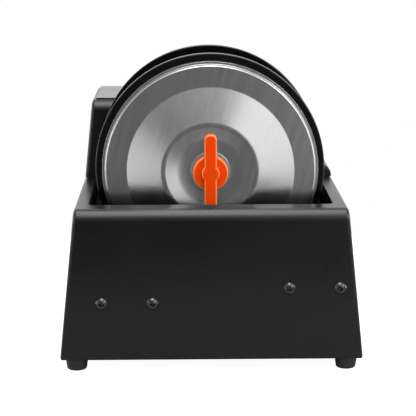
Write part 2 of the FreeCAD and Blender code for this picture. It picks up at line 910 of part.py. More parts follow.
# Two standoffs are in line with the belt's run and two lie across it, so none touches the belt.
def standoff_places():
    along = math.atan2(axle_z(drive_axle_x) - motor_z, drive_axle_x - motor_x)
    angles = [along + math.radians(90 * i) for i in range(4)]
    return [round_a(motor_x, motor_z, standoff_circle, angle) for angle in angles]


def motor_case():
    end = motor_y + motor_length
    case = turned([(0, motor_y, 0), (motor_radius, motor_y, motor_rounding),
                   (motor_radius, end, motor_rounding), (0, end, 0)], motor_x, motor_z)
    bore = rotor_radius + rotor_gap
    case = case.cut(rod(motor_x, motor_z, bore, motor_y + motor_wall, end - motor_wall))
    return case.cut(rod(motor_x, motor_z, motor_shaft_radius + axle_fit, motor_y - 1, end + 1))


def motor_standoffs():
    posts = []
    for x, z in standoff_places():
        spacer = rod(x, z, standoff_radius, bulkhead_rear_y, motor_y)
        shank = rod(x, z, small_screw_radius, bulkhead_y, bulkhead_rear_y)
        head = rod(x, z, small_screw_head, bulkhead_y - small_screw_head_height, bulkhead_y)
        posts.append(join([spacer, shank, head]))
    return Part.makeCompound(posts)


def motor_shaft():
    end = motor_y + motor_length
    shaft = rod(motor_x, motor_z, motor_shaft_radius, pulley_y, end + fan_gap + fan_depth)
    core_end = end - motor_wall - rotor_gap
    core = rod(motor_x, motor_z, rotor_radius, motor_y + motor_wall + rotor_gap, core_end)
    return join([shaft, core])


def motor_fan():
    start = motor_y + motor_length + fan_gap
    end = start + fan_depth
    hub = ring(motor_x, motor_z, fan_hub_radius, motor_shaft_radius, start, end)
    disc = ring(motor_x, motor_z, fan_radius, motor_shaft_radius, start, start + fan_disc)
    parts = [hub, disc]
    root = (fan_hub_radius + motor_shaft_radius) / 2
    for i in range(fan_blades):
        blade = box(motor_x + root, motor_x + fan_radius, start, end, motor_z - fan_blade / 2,
                    motor_z + fan_blade / 2)
        blade.rotate(V(motor_x, 0, motor_z), V(0, 1, 0), 360 / fan_blades * i)
        parts.append(blade)
    return join(parts).common(ring(motor_x, motor_z, fan_radius, motor_shaft_radius, start, end))


# Drum

def front_flange():
    return turned([(mouth_radius, flange_y, mouth_rounding),
                   (flange_radius, flange_y, flange_edge_rounding),
                   (flange_radius, flange_back_y, flange_edge_rounding),
                   (mouth_radius, flange_back_y, mouth_rounding)], 0, drum_z)


def rear_flange():
    shape = turned([(0, rear_flange_y, 0), (flange_radius, rear_flange_y, flange_edge_rounding),
                    (flange_radius, rear_flange_back_y, flange_edge_rounding), (0, rear_flange_back_y, 0)],
                   0, drum_z)
    for x, z in drum_bolt_places():
        shape = shape.cut(rod(x, z, drum_bolt_radius, rear_flange_y - 1, rear_flange_back_y + 1))
    return shape


def drum_bolt_places():
    return [round_a(0, drum_z, bolt_circle, 2 * math.pi / drum_bolts * i) for i in range(drum_bolts)]


def drum_barrel():
    inner = barrel_radius - barrel_wall
    lip = barrel_radius + barrel_lip
    lip_back_y = flange_back_y + barrel_wall
    floor_y = rear_flange_y - barrel_wall
    shape = turned([(inner, flange_back_y, barrel_rounding), (lip, flange_back_y, 0), (lip, lip_back_y, 0),
                    (barrel_radius, lip_back_y, barrel_rounding / 2),
                    (barrel_radius, rear_flange_y, barrel_rounding * 1.5), (0, rear_flange_y, 0),
                    (0, floor_y, 0), (inner, floor_y, barrel_rounding)], 0, drum_z)
    for x, z in drum_bolt_places():
        shape = shape.cut(rod(x, z, drum_bolt_radius, floor_y - 1, rear_flange_y + 1))
    return shape


def drum_liner():
    outer = barrel_radius - barrel_wall - liner_gap
    front = flange_back_y + bar_thickness + liner_bar_gap
    back = rear_flange_y - barrel_wall - liner_gap
    turn = 2 * math.pi / liner_sides
    corner = outer - liner_corner_wall
    corners = [round_a(0, drum_z, corner, turn * (i + 0.5)) + (liner_corner_rounding,)
               for i in range(liner_sides)]
    shape = turned([(0, front, 0), (outer, front, 0), (outer, back, liner_rounding), (0, back, 0)],
                   0, drum_z)
    shape = shape.cut(plate_xz(corners, front - 1, back - liner_back))
    for x, z in drum_bolt_places():
        shape = shape.cut(rod(x, z, liner_bolt_pocket, back - liner_back / 2, back + 1))
    return shape


def drum_bolt_set():
    bolts = []
    inner_y = rear_flange_y - barrel_wall
    for x, z in drum_bolt_places():
        head = rod(x, z, drum_bolt_head, inner_y - drum_bolt_head_height, inner_y)
        shank = rod(x, z, drum_bolt_radius, inner_y, rear_flange_back_y)
        nut = rod(x, z, drum_bolt_head, rear_flange_back_y, rear_flange_back_y + drum_nut_height)
        bolts.append(join([head, shank, nut]))
    return Part.makeCompound(bolts)


def lid_gasket():
    inner = lid_radius - gasket_width
    return turned([(inner, lid_seat_y, gasket_inner_rounding),
                   (lid_radius, lid_seat_y, gasket_outer_rounding),
                   (lid_radius, flange_y, gasket_outer_rounding),
                   (inner, flange_y, gasket_inner_rounding)], 0, drum_z)


def lid_pan():
    seat = lid_seat_y
    path = [(lid_radius, seat, 0), (lid_radius, seat - lid_lip_height, lid_lip_rounding),
            (lid_wall_radius, seat - lid_lip_height, lid_lip_fillet),
            (face_radius, seat - face_rise, shoulder_rounding),
            (face_inner_radius, seat - face_rise, face_rounding),
            (crest_radius, seat - crest_rise, crest_rounding),
            (bowl_radius, seat - bowl_rise, bowl_rounding),
            (stud_radius + stud_clearance, seat - bowl_rise, 0)]
    return turned(sheet(path, -lid_sheet), 0, drum_z)


def lid_bar():
    reach = barrel_radius - barrel_wall - liner_gap
    back = flange_back_y + bar_thickness
    bar = rod(0, drum_z, reach, flange_back_y, back)
    bar = bar.common(box(-reach, reach, flange_back_y, back, drum_z - bar_width / 2, drum_z + bar_width / 2))
    return bar.cut(rod(0, drum_z, stud_radius, flange_back_y - 1, back + 1))


def lid_stud():
    return rod(0, drum_z, stud_radius, knob_y - stud_reach, flange_back_y + bar_thickness)


def lid_washer():
    return ring(0, drum_z, washer_radius, stud_radius + stud_clearance, washer_y - washer_thickness, washer_y)


# Wing knob

def wing_knob():
    hub_y = knob_y - knob_hub_depth
    wing_y = hub_y - knob_wing_proud
    hub = rod(0, drum_z, knob_hub_radius, hub_y, knob_y)
    boss = rod(0, drum_z, knob_boss_radius, wing_y, knob_y)
    half = knob_wing_width / 2
    wing = rectangle(-half, half, drum_z - knob_wing_reach, drum_z + knob_wing_reach, knob_tip_rounding)
    bar = plate_xz(wing, wing_y, wing_y + knob_wing_depth)
    hub = round_edges(hub, knob_edge_rounding, lambda edge: rim_at(edge, hub_y, knob_hub_radius))
    boss = round_edges(boss, knob_edge_rounding, lambda edge: rim_at(edge, wing_y, knob_boss_radius))
    bar = round_edges(bar, knob_edge_rounding, lambda edge: rim_at(edge, wing_y, 0))
    knob = join([hub, boss, bar])
    knob = knob.cut(rod(0, drum_z, insert_radius, knob_y - insert_depth, knob_y + 1))
    return knob.cut(rod(0, drum_z, stud_radius + thread_clearance, knob_y - stud_reach - 1, knob_y + 1))


def knob_insert():
    return ring(0, drum_z, insert_radius, stud_radius + thread_clearance, knob_y - insert_depth, knob_y)


# Control panel

def panel_edges():
    left = -half_width(cover_top_z) + corner_radius
    right = tower_right_x - slope_rounding / 2
    return left, right, tower_y + bend_radius, rear_y - corner_radius


def window_plate(gap, corner, z0, z1):
    x0, x1, y0, y1 = window_edges
    return plate_xy(rectangle(x0 + gap, x1 - gap, y0 + gap, y1 - gap, corner), z0, z1)


def button_places():
    return [window_x + (i - 1) * button_spacing for i in range(3)]


def control_panel():
    left, right, front, rear = panel_edges()
    plate = plate_xy([(left, front, panel_left_corner), (right, front, panel_corner),
                      (right, rear, panel_corner), (left, rear, panel_left_corner)], cover_top_z, panel_top)
    plate = plate.cut(window_plate(0, window_corner, cover_top_z - 1, panel_top + 1))
    for x in button_places():
        plate = plate.cut(post(x, button_y, button_radius + button_gap, cover_top_z - 1, panel_top + 1))
    return plate


def display_lens():
    top = panel_top - lens_depth
    return window_plate(lens_gap, lens_corner, top - lens_thickness, top)


def display_module():
    top = panel_top - lens_thickness - 2 * lens_depth
    return window_plate(2 * lens_gap, lens_corner, board_top_z, top)


def corner_posts(x0, x1, y0, y1, z0, z1):
    return [post(x, y, post_width / 2, z0, z1) for x in (x0 + post_inset, x1 - post_inset)
            for y in (y0 + post_inset, y1 - post_inset)]


def control_board():
    x0 = window_x - board_width / 2
    x1 = x0 + board_width
    y0 = (window_y + button_y) / 2 - board_depth / 2
    y1 = y0 + board_depth
    parts = [box(x0, x1, y0, y1, board_top_z - board_thickness, board_top_z)]
    parts += corner_posts(x0, x1, y0, y1, board_top_z, under_top_z)
    stem_end = under_top_z - button_under_gap - button_flange - button_stem
    switch_top = stem_end - button_travel - button_switch_gap
    half = button_switch / 2
    for x in button_places():
        parts.append(box(x - half, x + half, button_y - half, button_y + half, board_top_z, switch_top))
    return join(parts)


def button(x):
    skirt_top = under_top_z - button_under_gap
    skirt_bottom = skirt_top - button_flange
    top = panel_top + button_proud
    cap = post(x, button_y, button_radius, skirt_bottom, top)
    cap = round_edges(cap, button_rounding, lambda edge: edge.BoundBox.ZMin > top - 0.01
                      and edge.Length > button_radius)
    skirt = post(x, button_y, button_radius + button_flange, skirt_bottom, skirt_top)
    stem = post(x, button_y, button_stem_radius, skirt_bottom - button_stem, skirt_top)
    return join([cap, skirt, stem])


# Electrics

def power_inlet():
    face = inner_rear_y + inlet_proud
    back = face - inlet_depth
    half_x = inlet_width / 2 - inlet_fit
    half_z = inlet_height / 2 - inlet_fit

    def block(grow, y0, y1):
        return box(inlet_x - half_x - grow, inlet_x + half_x + grow, y0, y1,
                   inlet_z - half_z - grow, inlet_z + half_z + grow)

    shape = join([block(0, back, face), block(inlet_collar, inner_rear_y, face)])
    shape = shape.cut(block(-inlet_wall, back + inlet_back, face + 1))
    for x, z in pin_places():
        shape = shape.cut(pin(x, z, back - 1, back + inlet_back + 1))
    return shape


def pin_places():
    low = inlet_z - pin_offset
    half = pin_spacing / 2
    return [(inlet_x - half, low), (inlet_x + half, low), (inlet_x, inlet_z + pin_offset)]


def pin(x, z, y0, y1):
    return box(x - pin_width / 2, x + pin_width / 2, y0, y1, z - pin_height / 2, z + pin_height / 2)


def inlet_pins():
    face = inner_rear_y + inlet_proud
    back = face - inlet_depth - pin_tail
    return Part.makeCompound([pin(x, z, back, face - inlet_back) for x, z in pin_places()])


def power_switch():
    face = inner_rear_y + inlet_proud
    half_x = switch_width / 2 - inlet_fit
    half_z = switch_height / 2 - inlet_fit

    def block(grow, y0, y1):
        return box(switch_x - half_x - grow, switch_x + half_x + grow, y0, y1,
                   inlet_z - half_z - grow, inlet_z + half_z + grow)

    shape = join([block(0, face - switch_depth, face), block(switch_bezel, inner_rear_y, face)])
    shape = shape.cut(block(-switch_wall, face - switch_recess, face + 1))
    reach = half_x + switch_bezel + 1
    return shape.cut(rocker_pin(reach, rocker_pin_radius + axle_fit))


def rocker_pin(reach, radius):
    return Part.makeCylinder(radius, 2 * reach, V(switch_x - reach, rocker_pin_y, inlet_z), V(1, 0, 0))


def power_rocker():
    half_x = switch_width / 2 - inlet_fit - switch_wall - rocker_gap
    half_z = switch_height / 2 - inlet_fit - switch_wall - rocker_gap - rocker_end_gap
    face = inner_rear_y + inlet_proud + rocker_proud
    rise = half_z * math.tan(math.radians(rocker_tilt))
    heel = rocker_pin_y - rocker_heel
    corners = [(heel, inlet_z - half_z / 3, rocker_heel_rounding),
               (face + rise / 2, inlet_z - half_z, rocker_rounding), (face - rise / 4, inlet_z, 0),
               (face + rise / 2, inlet_z + half_z, rocker_rounding),
               (heel, inlet_z + half_z / 3, rocker_heel_rounding)]
    paddle = plate_yz(corners, switch_x - half_x, switch_x + half_x)
    pin_reach = switch_width / 2 - inlet_fit - axle_fit
    rocker = join([paddle, rocker_pin(pin_reach, rocker_pin_radius)])
    rocker.rotate(V(switch_x, rocker_pin_y, inlet_z), V(1, 0, 0), -rocker_tilt)
    return rocker


def fuse_holder():
    face = inner_rear_y + fuse_proud
    barrel = rod(fuse_x, fuse_z, fuse_body_radius, face - fuse_depth, face)
    cap = rod(fuse_x, fuse_z, fuse_radius, inner_rear_y, face)
    slot = box(fuse_x - fuse_slot_reach, fuse_x + fuse_slot_reach, face - fuse_slot_depth, face + 1,
               fuse_z - fuse_slot_width / 2, fuse_z + fuse_slot_width / 2)
    return join([barrel, cap]).cut(slot)


def power_board():
    x0 = supply_x - supply_width / 2
    x1 = x0 + supply_width
    y0 = supply_y - supply_depth / 2
    y1 = y0 + supply_depth
    top = floor_z + supply_standoff + board_thickness
    core_x = x0 + transformer_x
    core_y = y0 + transformer_y
    parts = [box(x0, x1, y0, y1, top - board_thickness, top)]
    parts += corner_posts(x0, x1, y0, y1, floor_z, top)
    parts.append(box(core_x, core_x + transformer_width, core_y, core_y + transformer_depth, top,
                     top + transformer_height))
    parts.append(post(x1 - capacitor_inset, y0 + large_capacitor_y, large_capacitor_radius, top,
                      top + large_capacitor_height))
    parts.append(post(x1 - capacitor_inset, y1 - capacitor_inset, small_capacitor_radius, top,
                      top + small_capacitor_height))
    return join(parts)


def build_all():
    parts = {
        "housing_shell": housing_shell(),
        "tower_cover": tower_cover(),
        "base_plate": base_plate(),
        "foot_screws": foot_screws(),
        "bulkhead": bulkhead(),
        "bulkhead_screws": tab_screws(),
        "rear_panel": rear_panel(),
        "rear_panel_screws": rear_panel_screws(),
        "bearing_fasteners": bearing_fasteners(),
        "drive_axle": axle(drive_axle_x, pulley_back_y + pulley_axle_end),
        "drive_collar": collar(drive_axle_x),
        "drive_pulley": drive_pulley(),
        "idler_axle": axle(idler_axle_x, bulkhead_rear_y + bearing_depth + axle_end),
        "idler_collar": collar(idler_axle_x),
        "belt": belt(),
        "motor_case": motor_case(),
        "motor_standoffs": motor_standoffs(),
        "motor_shaft": motor_shaft(),
        "motor_pulley": pulley(motor_x, motor_z, motor_pulley_radius, motor_shaft_radius),
        "motor_fan": motor_fan(),
        "front_flange": front_flange(),
        "rear_flange": rear_flange(),
        "drum_barrel": drum_barrel(),
        "drum_liner": drum_liner(),
        "drum_bolts": drum_bolt_set(),
        "lid_gasket": lid_gasket(),
        "lid_pan": lid_pan(),
        "lid_bar": lid_bar(),
        "lid_stud": lid_stud(),
        "lid_washer": lid_washer(),
        "wing_knob": wing_knob(),
        "knob_insert": knob_insert(),
        "control_panel": control_panel(),
        "display_lens": display_lens(),
        "display_module": display_module(),
        "control_board": control_board(),
        "power_inlet": power_inlet(),
        "inlet_pins": inlet_pins(),
        "power_switch": power_switch(),
        "power_rocker": power_rocker(),
        "fuse_holder": fuse_holder(),
        "power_board": power_board(),
    }
    corners = {"front_left": (-1, -1), "front_right": (1, -1), "rear_left": (-1, 1), "rear_right": (1, 1)}
    for name, (a, b) in corners.items():
        parts["foot_" + name] = foot(a * foot_x, b * foot_y)
    bearings = []
    for name, x in {"drive": drive_axle_x, "idler": idler_axle_x}.items():
        for place, wall_y in {"front": inner_front_y, "rear": bulkhead_rear_y}.items():
            parts[name + "_bearing_" + place] = bearing_unit(x, wall_y)
            bearings.append(ball_bearing(x, wall_y))
        hubs = []
        for place, y in zip(("front", "rear"), wheel_centres_y):
            parts[name + "_tyre_" + place] = tyre(x, y)
            hubs.append(wheel_hub(x, y))
        parts[name + "_wheel_hubs"] = Part.makeCompound(hubs)
    parts["ball_bearings"] = Part.makeCompound(bearings)
    for i, x in enumerate(button_places()):
        parts["button_" + str(i + 1)] = button(x)
    return parts


os.makedirs("parts", exist_ok=True)
for node, shape in build_all().items():
    if not shape.isValid():
        print("not valid:", node)
    shape.exportStep("parts/" + node + ".step")
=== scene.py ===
import json
import math

import bmesh
import bpy
from mathutils import Matrix, Vector


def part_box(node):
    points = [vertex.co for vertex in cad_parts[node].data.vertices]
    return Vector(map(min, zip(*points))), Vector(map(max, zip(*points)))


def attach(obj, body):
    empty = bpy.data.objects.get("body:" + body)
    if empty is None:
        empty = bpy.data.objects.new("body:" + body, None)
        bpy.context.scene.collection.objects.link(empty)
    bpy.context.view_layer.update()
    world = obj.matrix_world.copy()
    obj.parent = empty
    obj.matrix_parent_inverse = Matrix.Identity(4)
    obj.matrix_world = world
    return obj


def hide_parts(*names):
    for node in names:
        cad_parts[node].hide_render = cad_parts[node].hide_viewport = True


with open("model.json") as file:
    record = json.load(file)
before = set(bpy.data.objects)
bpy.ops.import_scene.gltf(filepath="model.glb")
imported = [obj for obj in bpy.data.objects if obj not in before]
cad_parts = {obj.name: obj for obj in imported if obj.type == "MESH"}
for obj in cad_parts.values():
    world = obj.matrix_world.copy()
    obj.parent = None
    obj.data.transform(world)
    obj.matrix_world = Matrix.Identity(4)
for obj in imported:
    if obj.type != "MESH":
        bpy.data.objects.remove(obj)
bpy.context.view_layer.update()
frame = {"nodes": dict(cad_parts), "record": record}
scene = bpy.context.scene
slots = {part["node"]: part["material_slot"] for part in frame["record"]["subparts"]}
print("frame loaded")


# one output of a node, so that sums on it read as plain arithmetic
class Wire:
    def __init__(self, graph, socket):
        self.graph = graph
        self.socket = socket

    def maths(self, operation, first, second, clamp=False):
        return self.graph.node("Math", {"operation": operation, "use_clamp": clamp}, {0: first, 1: second})

    def __add__(self, other):
        return self.maths("ADD", self, other)

    def __radd__(self, other):
        return self.maths("ADD", other, self)

    def __sub__(self, other):
        return self.maths("SUBTRACT", self, other)

    def __rsub__(self, other):
        return self.maths("SUBTRACT", other, self)

    def __mul__(self, other):
        return self.maths("MULTIPLY", self, other)

    def __rmul__(self, other):
        return self.maths("MULTIPLY", other, self)

    def limited(self):
        return self.maths("ADD", self, 0.0, clamp=True)

    def larger(self, other):
        return self.maths("MAXIMUM", self, other)


# a node tree with one way of adding nodes: type, settings, sockets
class Graph:
    def __init__(self, tree):
        self.tree = tree

    def node(self, kind, settings=None, inputs=None, output=0):
        made = self.tree.nodes.new("ShaderNode" + kind)
        for name, value in (settings or {}).items():
            setattr(made, name, value)
        for name, value in (inputs or {}).items():
            self.feed(made.inputs[name], value)
        return Wire(self, made.outputs[output])

    def feed(self, socket, value):
        if isinstance(value, Wire):
            self.tree.links.new(value.socket, socket)
        else:
            socket.default_value = value


def colour(value):
    if isinstance(value, Wire) or len(value) == 4:
        return value
    return (*value, 1.0)


def grey(level):
    return (level, level, level * 1.02)


# a material on the standard shader, with its patterns on object coordinates
class Finish(Graph):
    def __init__(self, name, values):
        self.material = bpy.data.materials.new(name)
        self.material.use_nodes = True
        super().__init__(self.material.node_tree)
        self.surface = self.tree.nodes["Principled BSDF"]
        self.put(values)

    def put(self, values):
        for name, value in values.items():
            self.feed(self.surface.inputs[name], value)

    # turned and then stretched; grain runs along an axis whose stretch is large
    def place(self, turn=(0, 0, 0), stretch=(1, 1, 1)):
        here = self.node("TexCoord", {}, {}, "Object")
        return self.node("Mapping", {"vector_type": "TEXTURE"},
                         {"Vector": here, "Rotation": turn, "Scale": stretch})

    def noise(self, size, detail=2.0, roughness=0.5, place=None):
        return self.node("TexNoise", {"noise_dimensions": "3D"},
                         {"Vector": place or self.place(), "Scale": 1 / size, "Detail": detail,
                          "Roughness": roughness}, "Fac")

    def cells(self, size):
        return self.node("TexVoronoi", {"feature": "SMOOTH_F1"},
                         {"Vector": self.place(), "Scale": 1 / size}, "Distance")

    def blend(self, amount, first, second):
        return self.node("Mix", {"data_type": "RGBA"}, {0: amount, 6: colour(first), 7: colour(second)}, 2)

    def bump(self, height, depth):
        return self.node("Bump", {}, {"Height": height, "Distance": depth}, "Normal")

    # roughness that swings a little with the fine grain and with the soft clouds
    def uneven(self, roughness, fine, cloud, swing):
        return (fine - 0.5) * swing[0] + (cloud - 0.5) * swing[1] + roughness


finishes = {}


# plastic, rubber and smooth paint; the edge colour is a painted highlight, laid where a piece has a "rim"
# attribute
def moulded(name, low, high, roughness, size=0.03, depth=0.00002, grain=0.0009, gloss=0.5, edge=None):
    made = Finish(name, {"Specular IOR Level": gloss})
    cloud = made.noise(size, detail=3.0)
    fine = made.noise(grain, detail=3.0, roughness=0.6)
    paint = made.blend(cloud, low, high)
    if edge:
        # painted highlight: the rim weight blends the paler edge colour over the paint
        rim = made.node("Attribute", {"attribute_name": "rim"}, {}, "Fac")
        paint = made.blend(rim, paint, edge)
    made.put({"Base Color": paint, "Roughness": made.uneven(roughness, fine, cloud, (0.14, 0.12)),
              "Normal": made.bump(fine, depth)})
    finishes[name] = made.material


# turned, rolled or ground metal with fine lines along one axis
def lined(name, low, high, roughness, stretch=(1, 1, 30), fine=0.0006, size=0.02, depth=0.00001):
    made = Finish(name, {"Metallic": 1.0})
    lines = made.noise(fine, detail=3.0, roughness=0.6, place=made.place(stretch=stretch))
    cloud = made.noise(size, detail=3.0)
    made.put({"Base Color": made.blend(lines * 0.6 + cloud * 0.4, low, high),
              "Roughness": made.uneven(roughness, lines, cloud, (0.2, 0.12)),
              "Normal": made.bump(lines, depth)})
    finishes[name] = made.material


# sprayed paint of the housing, with a fine pebble in it
spray = {"low": 0.0008, "high": 0.0016, "gloss": 0.45, "roughness": 0.29, "swing": (0.12, 0.1),
         "pebble": 0.0014, "pebbleShare": 0.7, "grain": 0.0007, "grainShare": 0.5, "cloud": 0.06,
         "depth": 0.00006}
paint = Finish("housing", {"Specular IOR Level": spray["gloss"]})
pebbles = paint.cells(spray["pebble"])
fine = paint.noise(spray["grain"], detail=3.0, roughness=0.6)
cloud = paint.noise(spray["cloud"])
paint.put({"Base Color": paint.blend(cloud, grey(spray["low"]), grey(spray["high"])),
           "Roughness": paint.uneven(spray["roughness"], fine, cloud, spray["swing"]),
           "Normal": paint.bump(pebbles * spray["pebbleShare"] + fine * spray["grainShare"], spray["depth"])})
finishes["housing"] = paint.material

# brushed lid: hairlines in soft bands, all leaning the same way
brush = {"angle": 15.0, "stretch": 60.0, "fine": 0.0007, "fineShare": 0.6, "wide": 0.005, "wideShare": 0.4,
         "low": (0.46, 0.46, 0.46), "high": (0.6, 0.6, 0.6), "roughness": 0.23, "swing": (0.1, 0.08),
         "depth": 0.0000008}
steel = Finish("lid_steel", {"Metallic": 1.0})
along = {"turn": (0, math.radians(brush["angle"]), 0), "stretch": (1, 1, brush["stretch"])}
hairs = steel.noise(brush["fine"], detail=3.0, roughness=0.65, place=steel.place(**along))
bands = steel.noise(brush["wide"], detail=2.0, roughness=0.5, place=steel.place(**along))
share = hairs * brush["fineShare"] + bands * brush["wideShare"]
steel.put({"Base Color": steel.blend(share, brush["low"], brush["high"]),
           "Roughness": steel.uneven(brush["roughness"], hairs, bands, brush["swing"]),
           "Normal": steel.bump(hairs, brush["depth"])})
finishes["lid_steel"] = steel.material

# the paler orange on the knob's rounded edges is a painted highlight
moulded("knob_orange", (0.76, 0.05, 0.0), (0.79, 0.057, 0.0), 0.32, depth=0.000005, gloss=0.12,
        edge=(0.94, 0.25, 0.065))
moulded("rubber", grey(0.012), grey(0.02), 0.62, grain=0.0005)
moulded("flange_black", grey(0.0012), grey(0.002), 0.16, depth=0.000004, gloss=0.35)
moulded("screw_black", grey(0.002), grey(0.005), 0.15, size=0.004, depth=0.000004, grain=0.0004, gloss=0.8)
moulded("cast_grey", (0.2, 0.21, 0.22), (0.27, 0.28, 0.29), 0.55, size=0.01, depth=0.0002, grain=0.0016)
moulded("nylon_white", (0.72, 0.7, 0.64), (0.8, 0.78, 0.73), 0.48)
moulded("tyre_rubber", grey(0.014), grey(0.026), 0.7, grain=0.0007, depth=0.00005)
moulded("barrel_steel", grey(0.03), grey(0.042), 0.32, depth=0.00001)
moulded("panel_black", grey(0.012), grey(0.016), 0.2, depth=0.000004, gloss=0.8)
moulded("lens", (0.02, 0.026, 0.026), (0.026, 0.032, 0.03), 0.12, depth=0.000001)
moulded("display", (0.16, 0.2, 0.15), (0.2, 0.25, 0.19), 0.5)
moulded("board_green", (0.012, 0.12, 0.045), (0.02, 0.18, 0.07), 0.35)
moulded("button_grey", (0.1, 0.105, 0.11), (0.13, 0.135, 0.142), 0.42)
moulded("inlet_black", grey(0.014), grey(0.02), 0.3)
moulded("mark_white", grey(0.7), grey(0.8), 0.4, size=0.004)
lined("zinc_steel", (0.38, 0.38, 0.375), (0.52, 0.52, 0.5), 0.36)
lined("steel_plate", (0.42, 0.43, 0.43), (0.6, 0.61, 0.61), 0.42, stretch=(12, 1, 12), fine=0.004)
lined("bearing_steel", (0.68, 0.68, 0.7), (0.78, 0.78, 0.8), 0.2)
lined("pulley_alloy", (0.6, 0.6, 0.62), (0.74, 0.74, 0.76), 0.3)
lined("brass", (0.62, 0.43, 0.17), (0.78, 0.57, 0.24), 0.28)
print("finishes made")


def middle(node):
    low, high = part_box(node)
    return (low + high) / 2


def halfSize(node):
    low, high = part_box(node)
    return (high - low) / 2


# vertices closer than this become one, in metres; neighbouring faces within this angle become one, in degrees
weld = {"turned": 0.00001, "joined": 0.000005, "cad": 0.000002, "sliver": 0.000001}
level = {"joined": 0.5, "cad": 1.0}


# a profile turned about an axle; its points are (radius, distance along the axle, corner radius)
def turned(centre, along, points, steps=96, closed=True, segments=4):
    shape = bmesh.new()
    axis = Vector((0, 1, 0)) if along == "Y" else Vector((0, 0, 1))
    base = centre - axis * centre.dot(axis)
    places = [base + Vector((radius, 0, 0)) + axis * reach for radius, reach, _ in points]
    rail = [shape.verts.new(place) for place in places]
    count = len(rail)
    for i in range(count if closed else count - 1):
        shape.edges.new((rail[i], rail[(i + 1) % count]))
    for i, (_, _, corner) in enumerate(points):
        if corner == 0:
            continue
        back = (places[i - 1] - places[i]).normalized()
        ahead = (places[(i + 1) % count] - places[i]).normalized()
        bmesh.ops.bevel(shape, geom=[rail[i]], offset=corner / math.tan(back.angle(ahead) / 2),
                        offset_type="OFFSET", segments=segments, profile=0.5, affect="VERTICES", material=-1)
    bmesh.ops.spin(shape, geom=shape.verts[:] + shape.edges[:], cent=base, axis=axis, angle=2 * math.pi,
                   steps=steps, use_merge=True)
    bmesh.ops.remove_doubles(shape, verts=shape.verts[:], dist=weld["turned"])
    bmesh.ops.recalc_face_normals(shape, faces=shape.faces[:])
    return shape


# a block whose four edges along Y may be rounded
def block(low, high, corner=0.0, segments=10):
    shape = bmesh.new()
    bmesh.ops.create_cube(shape, size=1.0)
    bmesh.ops.scale(shape, vec=high - low, verts=shape.verts[:])
    bmesh.ops.translate(shape, vec=(low + high) / 2, verts=shape.verts[:])
    if corner:
        lengthwise = [edge for edge in shape.edges
                      if abs((edge.verts[0].co - edge.verts[1].co).normalized().y) > 0.99]
        bmesh.ops.bevel(shape, geom=lengthwise, offset=corner, offset_type="OFFSET", segments=segments,
                        profile=0.5, affect="EDGES", material=-1)
    bmesh.ops.recalc_face_normals(shape, faces=shape.faces[:])
    return shape


def loose(shape):
    mesh = bpy.data.meshes.new("loose")
    shape.to_mesh(mesh)
    shape.free()
    made = bpy.data.objects.new("loose", mesh)
    scene.collection.objects.link(made)
    return made


# joins or cuts closed shapes and gives one closed shape back
def combined(first, others, operation):
    target = loose(first)
    tools = [loose(other) for other in others]
    for tool in tools:
        step = target.modifiers.new("step", "BOOLEAN")
        step.operation = operation
        step.solver = "EXACT"
        step.object = tool
    bpy.context.view_layer.update()
    done = bpy.data.meshes.new_from_object(target.evaluated_get(bpy.context.evaluated_depsgraph_get()))
    shape = bmesh.new()
    shape.from_mesh(done)
    bpy.data.meshes.remove(done)
    for made in [target] + tools:
        mesh = made.data
        bpy.data.objects.remove(made)
        bpy.data.meshes.remove(mesh)
    bmesh.ops.remove_doubles(shape, verts=shape.verts[:], dist=weld["joined"])
    bmesh.ops.dissolve_limit(shape, angle_limit=math.radians(level["joined"]), verts=shape.verts[:],
                             edges=shape.edges[:])
    return shape


# edges that are sharper than an angle, and chosen, get a round
def roundEdges(shape, size, segments, sharper, chosen=None):
    edges = [edge for edge in shape.edges if edge.is_manifold
             and edge.calc_face_angle() > math.radians(sharper) and (chosen is None or chosen(edge))]
    bmesh.ops.bevel(shape, geom=edges, offset=size, offset_type="OFFSET", segments=segments, profile=0.5,
                    affect="EDGES", material=-1, clamp_overlap=False)


# a separate copy of a CAD node's mesh, with its loose triangles merged
def cadCopy(node):
    shape = bmesh.new()
    shape.from_mesh(frame["nodes"][node].data)
    bmesh.ops.remove_doubles(shape, verts=shape.verts[:], dist=weld["cad"])
    bmesh.ops.dissolve_degenerate(shape, dist=weld["sliver"], edges=shape.edges[:])
    return shape


def softened(node, size, segments=2, chosen=None):
    shape = cadCopy(node)
    bmesh.ops.dissolve_limit(shape, angle_limit=math.radians(level["cad"]), verts=shape.verts[:],
                             edges=shape.edges[:])
    roundEdges(shape, size, segments, sharper=40, chosen=chosen)
    return shape


# makes the object, with its finish and body, in place of the CAD nodes that it stands for
def finishPiece(shape, name, body, slotName, nodes=(), crease=35, finish=None, flats=False):
    mesh = bpy.data.meshes.new(name)
    shape.to_mesh(mesh)
    shape.free()
    mesh.shade_smooth()
    mesh.set_sharp_from_angle(angle=math.radians(crease))
    for face in mesh.polygons:
        if flats and abs(face.normal.z) > 0.99999:  # level faces stay flat
            face.use_smooth = False
    mesh.materials.append(finishes[finish or slotName])
    piece = bpy.data.objects.new(name, mesh)
    scene.collection.objects.link(piece)
    shading = piece.modifiers.new("shading", "WEIGHTED_NORMAL")  # keeps large flats even beside small rounds
    shading.keep_sharp = True
    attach(piece, body)
    if nodes:
        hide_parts(*nodes)
    return piece


# housing: the CAD sheet metal with its vertices merged, so that the bends shade as curves
for node in ("housing_shell", "tower_cover"):
    finishPiece(cadCopy(node), node + "_painted", "base", "housing", [node], crease=28)
print("housing made")

# drum: everything on it is turned about the drum's axle
drumCentre = middle("front_flange")

flanges = {"mouth": 0.088, "edge": 0.0012, "steps": 256, "segments": 6}


